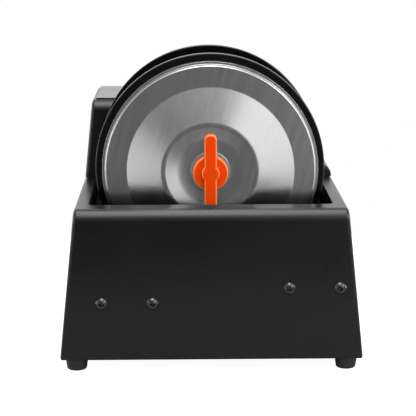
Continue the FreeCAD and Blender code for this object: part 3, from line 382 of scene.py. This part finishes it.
def flange(node, mouth):
    low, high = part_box(node)
    outer = halfSize(node).x
    inside = flanges["edge"] / 2 if mouth else 0
    points = [(mouth, low.y, inside), (outer, low.y, flanges["edge"]), (outer, high.y, flanges["edge"]),
              (mouth, high.y, inside)]
    shape = turned(drumCentre, "Y", points, flanges["steps"], closed=mouth > 0, segments=flanges["segments"])
    finishPiece(shape, node + "_rim", "drum", "flange_black", [node])


flange("front_flange", flanges["mouth"])
flange("rear_flange", 0)

gasket = {"width": 0.011, "outer": 0.0005, "inner": 0.0015, "steps": 160}
low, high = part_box("lid_gasket")
outer = halfSize("lid_gasket").x
inner = outer - gasket["width"]
points = [(inner, low.y, gasket["inner"]), (outer, low.y, gasket["outer"]), (outer, high.y, gasket["outer"]),
          (inner, high.y, gasket["inner"])]
finishPiece(turned(drumCentre, "Y", points, gasket["steps"]), "lid_gasket_ring", "drum", "rubber", ["lid_gasket"])

# lid from its lip inwards: lip, wall, flat face, cone, crest and shallow bowl
lid = {"lip": 0.0016, "lipRound": 0.00015, "lipWidth": 0.0024, "lipFillet": 0.0003, "draft": 0.001,
       "shoulderRound": 0.0012, "faceRise": 0.0076, "faceInner": 0.0812, "faceRound": 0.006, "crest": 0.0456,
       "crestRound": 0.014, "bowl": 0.027, "bowlRound": 0.075, "bowlRise": 0.0121, "hole": 0.0053,
       "sheet": 0.0012, "steps": 192, "segments": 8}
low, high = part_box("lid_pan")
outer = halfSize("lid_pan").x
seat = high.y
wall = outer - lid["lipWidth"]
points = [(outer, seat, 0), (outer, seat - lid["lip"], lid["lipRound"]),
          (wall, seat - lid["lip"], lid["lipFillet"]),
          (wall - lid["draft"], seat - lid["faceRise"], lid["shoulderRound"]),
          (lid["faceInner"], seat - lid["faceRise"], lid["faceRound"]),
          (lid["crest"], low.y, lid["crestRound"]),
          (lid["bowl"], seat - lid["bowlRise"], lid["bowlRound"]), (lid["hole"], seat - lid["bowlRise"], 0)]
shape = turned(drumCentre, "Y", points, lid["steps"], closed=False, segments=lid["segments"])
if sum(face.normal.y for face in shape.faces) > 0:  # the sheet's outside looks forwards
    bmesh.ops.reverse_faces(shape, faces=shape.faces[:])
bmesh.ops.solidify(shape, geom=shape.faces[:], thickness=lid["sheet"])
finishPiece(shape, "lid_pressing", "drum", "lid_steel", ["lid_pan"], crease=50)

washer = {"hole": 0.0053, "edge": 0.0004}
low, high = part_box("lid_washer")
outer = halfSize("lid_washer").x
points = [(washer["hole"], low.y, 0), (outer, low.y, washer["edge"]), (outer, high.y, 0),
          (washer["hole"], high.y, 0)]
finishPiece(turned(drumCentre, "Y", points), "lid_washer_ring", "drum", "zinc_steel", ["lid_washer"])

knob = {"hub": 0.017, "hubDepth": 0.0099, "hubBack": 0.0005, "boss": 0.0086, "bossStart": 0.002, "width": 0.012,
        "proud": 0.0045, "depth": 0.009, "edge": 0.002, "edgeSegments": 5, "tip": 0.0052, "bore": 0.008,
        "boreDepth": 0.008, "over": 0.001, "reach": 0.0001}


# a solid cylinder on the knob's axle
def plug(radius, back, front, backRound=0, frontRound=0, steps=96):
    points = [(0, back, 0), (radius, back, backRound), (radius, front, frontRound), (0, front, 0)]
    return turned(middle("wing_knob"), "Y", points, steps, closed=False)


low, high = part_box("wing_knob")
centre = middle("wing_knob")
hubFront = high.y - knob["hubDepth"]
wingFront = hubFront - knob["proud"]
hub = plug(knob["hub"], high.y, hubFront, knob["hubBack"], knob["edge"])
boss = plug(knob["boss"], high.y - knob["bossStart"], wingFront, steps=64)
bore = plug(knob["bore"], high.y - knob["boreDepth"], high.y + knob["over"], steps=48)
wing = block(Vector((centre.x - knob["width"] / 2, wingFront, low.z)),
             Vector((centre.x + knob["width"] / 2, wingFront + knob["depth"], high.z)), knob["tip"])
front = combined(wing, [boss], "UNION")
roundEdges(front, knob["edge"], knob["edgeSegments"], sharper=30,
           chosen=lambda edge: all(v.co.y < wingFront + knob["reach"] for v in edge.verts))
shape = combined(front, [hub], "UNION")
shape = combined(shape, [bore], "DIFFERENCE")
shape.normal_update()

# painted highlight on the rounded edges: the rim weight rises with the tilt from the front and falls again before
# the sides
highlightBand = {"from": 0.02, "rise": 0.15, "to": 0.98, "fall": 0.3}
rim = shape.faces.layers.float.new("rim")
for face in shape.faces:
    tilt = 1 - abs(face.normal.y)
    rising = max(0.0, min(1.0, (tilt - highlightBand["from"]) / highlightBand["rise"]))
    falling = max(0.0, min(1.0, (highlightBand["to"] - tilt) / highlightBand["fall"]))
    face[rim] = rising * falling
moulding = finishPiece(shape, "wing_knob_moulding", "wing_knob", "knob_orange", ["wing_knob"], crease=40)
moulding.visible_glossy = False  # the lid doesn't mirror it
print("drum made")

screws = {"head": 0.006, "height": 0.0036, "shank": 0.003, "recess": 0.0036, "evenness": 0.0002,
          "crown": 0.6, "crownRound": 0.004, "side": 0.3, "sideRound": 0.001, "seatRound": 0.0002,
          "endRound": 0.0005, "cutDepth": 2.2, "cutWidth": 0.55, "floorLength": 0.4, "floorWidth": 0.8}


# a pan head with a cross recess, its head towards the facing side of an axis along Y
def panHead(centre, seat, facing, length):
    head, height, shank, recess = (screws[name] for name in ("head", "height", "shank", "recess"))
    top = seat + facing * height
    end = seat - facing * length
    points = [(0, top, 0), (head * screws["crown"], top, screws["crownRound"]),
              (head, seat + facing * height * screws["side"], screws["sideRound"]),
              (head, seat, screws["seatRound"]), (shank, seat, 0), (shank, end, screws["endRound"]), (0, end, 0)]
    screw = turned(centre, "Y", points, steps=48, closed=False, segments=6)
    cross = []
    for angle in (0, 90):
        cutter = bmesh.new()
        bmesh.ops.create_cube(cutter, size=1.0)
        bmesh.ops.scale(cutter, vec=(recess * 2, height * screws["cutDepth"], recess * screws["cutWidth"]),
                        verts=cutter.verts[:])
        for vert in cutter.verts:  # the recess narrows towards its bottom
            if vert.co.y * facing < 0:
                vert.co.x *= screws["floorLength"]
                vert.co.z *= screws["floorWidth"]
        bmesh.ops.rotate(cutter, cent=(0, 0, 0), matrix=Matrix.Rotation(math.radians(angle), 3, "Y"),
                         verts=cutter.verts[:])
        bmesh.ops.translate(cutter, vec=(centre.x, top, centre.z), verts=cutter.verts[:])
        cross.append(cutter)
    return combined(screw, cross, "DIFFERENCE")


# the vertices of each separate solid in a shape
def connected(shape):
    shape.verts.index_update()
    groups = []
    seen = set()
    for start in shape.verts:
        if start.index in seen:
            continue
        group = [start]
        seen.add(start.index)
        for vert in group:
            for edge in vert.link_edges:
                other = edge.other_vert(vert)
                if other.index not in seen:
                    seen.add(other.index)
                    group.append(other)
        groups.append(group)
    return groups


def extent(group):
    low = Vector(min(v.co[i] for v in group) for i in range(3))
    high = Vector(max(v.co[i] for v in group) for i in range(3))
    return low, high


# a screw is as wide as it is high; a nut isn't
def isScrew(group):
    low, high = extent(group)
    return abs(high.x - low.x - high.z + low.z) < screws["evenness"]


def addShape(target, extra):
    mesh = bpy.data.meshes.new("extra")
    extra.to_mesh(mesh)
    extra.free()
    target.from_mesh(mesh)
    bpy.data.meshes.remove(mesh)


# new screws in the places of a node's own; what else the node holds is kept as it is
def screwSet(node, name, facing):
    joined = bmesh.new()
    kept = cadCopy(node)
    replaced = [group for group in connected(kept) if isScrew(group)]
    for group in replaced:
        low, high = extent(group)
        seat = low.y + screws["height"] if facing < 0 else high.y - screws["height"]
        length = (high.y - low.y) - screws["height"]
        addShape(joined, panHead((low + high) / 2, seat, facing, length))
    bmesh.ops.delete(kept, geom=[vert for group in replaced for vert in group], context="VERTS")
    addShape(joined, kept)
    finishPiece(joined, name, "base", "screw_black", [node], crease=40)


screwSet("bearing_fasteners", "bearing_screws", -1)
screwSet("rear_panel_screws", "rear_screws", 1)
print("screws made")

foot = {"edge": 0.002, "smallEdge": 0.0004, "taper": 0.00175, "well": 0.0043, "hole": 0.0023}
for node in [name for name in frame["nodes"] if name.startswith("foot_") and name != "foot_screws"]:
    low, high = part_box(node)
    top = halfSize(node).x
    points = [(foot["hole"], high.z, 0), (top, high.z, foot["smallEdge"]),
              (top - foot["taper"], low.z, foot["edge"]), (foot["well"], low.z, foot["smallEdge"]),
              (foot["well"], (low.z + high.z) / 2, 0), (foot["hole"], (low.z + high.z) / 2, 0)]
    finishPiece(turned(middle(node), "Z", points, steps=64), node + "_moulding", "base", "rubber", [node])

tyre = {"bore": 0.023, "lip": 0.002, "edge": 0.001, "groove": 0.00385, "grooveEdge": 0.0004}
for axle in ("drive", "idler"):
    for place in ("front", "rear"):
        node = axle + "_tyre_" + place
        low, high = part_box(node)
        centre = middle(node)
        outer = halfSize(node).x
        tread = outer - tyre["lip"]
        near, far = centre.y - tyre["groove"], centre.y + tyre["groove"]
        points = [(tyre["bore"], low.y, 0), (outer, low.y, tyre["edge"]), (outer, near, tyre["edge"]),
                  (tread, near, tyre["grooveEdge"]), (tread, far, tyre["grooveEdge"]), (outer, far, tyre["edge"]),
                  (outer, high.y, tyre["edge"]), (tyre["bore"], high.y, 0)]
        finishPiece(turned(centre, "Y", points), node + "_ring", axle + "_axle", "tyre_rubber", [node])
print("wheels made")

plates = {"control_panel": {"edge": 0.0004, "segments": 3, "name": "control_panel_plate", "slot": "panel_black"},
          "display_lens": {"edge": 0.0004, "segments": 2, "name": "display_lens_window", "slot": "lens"}}
for node, plate in plates.items():
    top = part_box(node)[1].z
    shape = softened(node, plate["edge"], plate["segments"],
                     lambda edge: all(v.co.z > top - weld["turned"] for v in edge.verts))
    finishPiece(shape, plate["name"], "base", plate["slot"], [node], crease=40, flats=True)

# round buttons with a dished top; each carries one raised generic mark
button = {"dish": 0.0005, "dishReach": 0.0052, "dishRound": 0.012, "bendReach": 0.5, "bendDepth": 0.8,
          "over": 0.001, "markReach": 0.0022, "markWidth": 0.0008, "markDepth": 0.0004, "markSink": 0.0002}


def dished(node):
    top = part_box(node)[1].z
    points = [(0, top - button["dish"], 0),
              (button["dishReach"] * button["bendReach"], top - button["dish"] * button["bendDepth"],
               button["dishRound"]),
              (button["dishReach"], top, 0), (button["dishReach"], top + button["over"], 0),
              (0, top + button["over"], 0)]
    return combined(cadCopy(node), [turned(middle(node), "Z", points, steps=64, closed=False)], "DIFFERENCE")


def raisedMark(node, kind):
    centre = middle(node)
    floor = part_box(node)[1].z - button["dish"] - button["markSink"]
    reach = button["markReach"]
    half = button["markWidth"] / 2
    depth = button["markDepth"]
    if kind == "start":
        shape = bmesh.new()
        bmesh.ops.create_cone(shape, cap_ends=True, segments=3, radius1=reach, radius2=reach, depth=depth)
        bmesh.ops.rotate(shape, cent=(0, 0, 0), matrix=Matrix.Rotation(math.radians(-90), 3, "Z"),
                         verts=shape.verts[:])
        bmesh.ops.translate(shape, vec=(centre.x, centre.y, floor + depth / 2), verts=shape.verts[:])
        return shape
    bar = block(Vector((centre.x - reach, centre.y - half, floor)),
                Vector((centre.x + reach, centre.y + half, floor + depth)))
    if kind == "less":
        return bar
    upright = block(Vector((centre.x - half, centre.y - reach, floor)),
                    Vector((centre.x + half, centre.y + reach, floor + depth)))
    return combined(bar, [upright], "UNION")


for node, kind in (("button_1", "less"), ("button_2", "more"), ("button_3", "start")):
    finishPiece(dished(node), node + "_cap", node, "button_grey", [node], crease=40)
    finishPiece(raisedMark(node, kind), node + "_mark", node, "button_grey", crease=30, finish="mark_white")

# on and off marks of the rocker, each laid on the face under it
marks = {"reach": 0.0022, "width": 0.0007, "lift": 0.00012, "sink": 0.0003, "apart": 0.27, "clear": 0.01}
rocker = frame["nodes"]["power_rocker"]
low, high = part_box("power_rocker")
centre = middle("power_rocker")
half = (marks["sink"] + marks["lift"]) / 2
for name, side in (("on", 1), ("off", -1)):
    above = Vector((centre.x, high.y + marks["clear"], centre.z + side * (high.z - low.z) * marks["apart"]))
    found, place, normal, _ = rocker.ray_cast(above, Vector((0, -1, 0)))
    if name == "on":
        corner = Vector((marks["width"] / 2, half, marks["reach"]))
        shape = block(-corner, corner)
    else:
        outer = marks["reach"]
        inner = outer - marks["width"]
        points = [(inner, -half, 0), (outer, -half, 0), (outer, half, 0), (inner, half, 0)]
        shape = turned(Vector((0, 0, 0)), "Y", points, steps=48)
    tilt = Vector((0, 1, 0)).rotation_difference(normal).to_matrix()
    bmesh.ops.rotate(shape, cent=(0, 0, 0), matrix=tilt, verts=shape.verts[:])
    bmesh.ops.translate(shape, vec=place + normal * (marks["lift"] - half), verts=shape.verts[:])
    finishPiece(shape, "rocker_mark_" + name, "power_rocker", "inlet_black", crease=30, finish="mark_white")

fittings = {"power_inlet": 0.0004, "fuse_holder": 0.0003}  # node and its edge round
for node, size in fittings.items():
    finishPiece(softened(node, size), node + "_finished", "base", slots[node], [node], crease=40)
print("panel and fittings made")

# the rest keeps its CAD shape and takes its finish from its slot
for name, node in frame["nodes"].items():
    if not node.hide_render:
        node.data.materials.clear()
        node.data.materials.append(finishes[slots[name]])

camera = {"place": (-0.0256, -1.5223, 0.4331), "yaw": 0.931, "pitch": 11.298, "roll": -0.124, "lens": 129.81,
          "sensor": 36, "near": 0.05, "far": 20}
yaw, pitch, roll = (math.radians(camera[turn]) for turn in ("yaw", "pitch", "roll"))
ahead = Vector((math.sin(yaw) * math.cos(pitch), math.cos(yaw) * math.cos(pitch), -math.sin(pitch)))
sideways = Vector((math.cos(yaw), -math.sin(yaw), 0))
right = sideways * math.cos(roll) + sideways.cross(ahead) * math.sin(roll)
up = right.cross(ahead)
lens = bpy.data.cameras.new("camera")
lens.lens = camera["lens"]
lens.sensor_width = camera["sensor"]
lens.clip_start = camera["near"]
lens.clip_end = camera["far"]
shot = bpy.data.objects.new("camera", lens)
shot.matrix_world = Matrix((right, up, -ahead)).transposed().to_4x4()
shot.location = camera["place"]
scene.collection.objects.link(shot)
scene.camera = shot

# soft boxes all round; a glow of 1 is white, and each looks at the drum unless it has its own aim
lamps = {
    "rightBox": {"place": (1.5, -2.7, 0.78), "size": (1.95, 2.9), "glow": 1.25},
    "key": {"place": (1.05, -0.85, 0.95), "size": (0.55, 0.7), "glow": 6.0},
    "sideLeft": {"place": (-1.5, 0.05, 0.35), "size": (0.5, 0.8), "glow": 4.0},
    "sideRight": {"place": (1.5, 0.05, 0.35), "size": (0.5, 0.8), "glow": 4.0},
    "leftBox": {"place": (-0.78, -1.11, 0.1), "size": (0.56, 0.62), "glow": 1.15},
    "frontHigh": {"place": (0.0, -1.1, 1.35), "size": (1.3, 0.7), "glow": 1.5},
    "overhead": {"place": (0.0, -0.34, 1.6), "size": (0.9, 1.4), "glow": 4.6, "aim": (0.0, -0.34, 0.0)},
}
for name, lamp in lamps.items():
    light = bpy.data.lights.new(name, "AREA")
    light.shape = "RECTANGLE"
    light.size, light.size_y = lamp["size"]
    light.energy = lamp["glow"] * math.pi * light.size * light.size_y
    made = bpy.data.objects.new(name, light)
    aim = Vector(lamp.get("aim", (0, -0.1, 0.14)))
    made.rotation_euler = (aim - Vector(lamp["place"])).to_track_quat("-Z", "Y").to_euler()
    made.location = lamp["place"]
    scene.collection.objects.link(made)

# what the surfaces mirror: dim in front, lighter behind and above; the camera and glass see plain white
studio = {"behind": 0.6, "behindSlope": 2.5, "above": 0.06, "aboveSlope": 2.6, "aboveShare": 0.55,
          "dim": 0.15, "range": 0.85}
world = bpy.data.worlds.new("studio")
world.use_nodes = True
scene.world = world
sky = Graph(world.node_tree)
direction = sky.node("TexCoord", {}, {}, "Generated")
away = sky.node("SeparateXYZ", {}, {0: direction}, "Y")
height = sky.node("SeparateXYZ", {}, {0: direction}, "Z")
seen = sky.node("LightPath", {}, {}, "Is Camera Ray")
through = sky.node("LightPath", {}, {}, "Is Transmission Ray")
behind = ((away + studio["behind"]) * studio["behindSlope"]).limited()
above = ((height - studio["above"]) * studio["aboveSlope"]).limited()
mirrored = behind.larger(above * studio["aboveShare"]) * studio["range"] + studio["dim"]
backdrop = world.node_tree.nodes["Background"]
sky.feed(backdrop.inputs["Color"], (1, 1, 1, 1))
sky.feed(backdrop.inputs["Strength"], (1 - seen - through) * mirrored + seen + through)

ground = {"radius": 0.5, "paint": 0.3, "cloudPaint": 0.33, "cloud": 0.4, "roughness": 0.9, "gloss": 0.1,
          "glow": 0.94}
disc = bmesh.new()
bmesh.ops.create_circle(disc, cap_ends=True, segments=96, radius=ground["radius"])
mesh = bpy.data.meshes.new("floor")
disc.to_mesh(mesh)
disc.free()
floor = bpy.data.objects.new("floor", mesh)
scene.collection.objects.link(floor)
pale = Finish("floor", {"Roughness": ground["roughness"], "Specular IOR Level": ground["gloss"]})
cloud = pale.noise(ground["cloud"])
pale.put({"Base Color": pale.blend(cloud, grey(ground["paint"]), grey(ground["cloudPaint"]))})
glow = pale.node("Emission", {}, {"Color": (1, 1, 1, 1), "Strength": ground["glow"]})
seen = pale.node("LightPath", {}, {}, "Is Camera Ray")
plain = Wire(pale, pale.surface.outputs[0])
bright = pale.node("AddShader", {}, {0: plain, 1: glow})
pale.feed(pale.tree.nodes["Material Output"].inputs["Surface"],
          pale.node("MixShader", {}, {0: seen, 1: plain, 2: bright}))
floor.data.materials.append(pale.material)

scene.view_settings.view_transform = "Standard"
print("studio made")
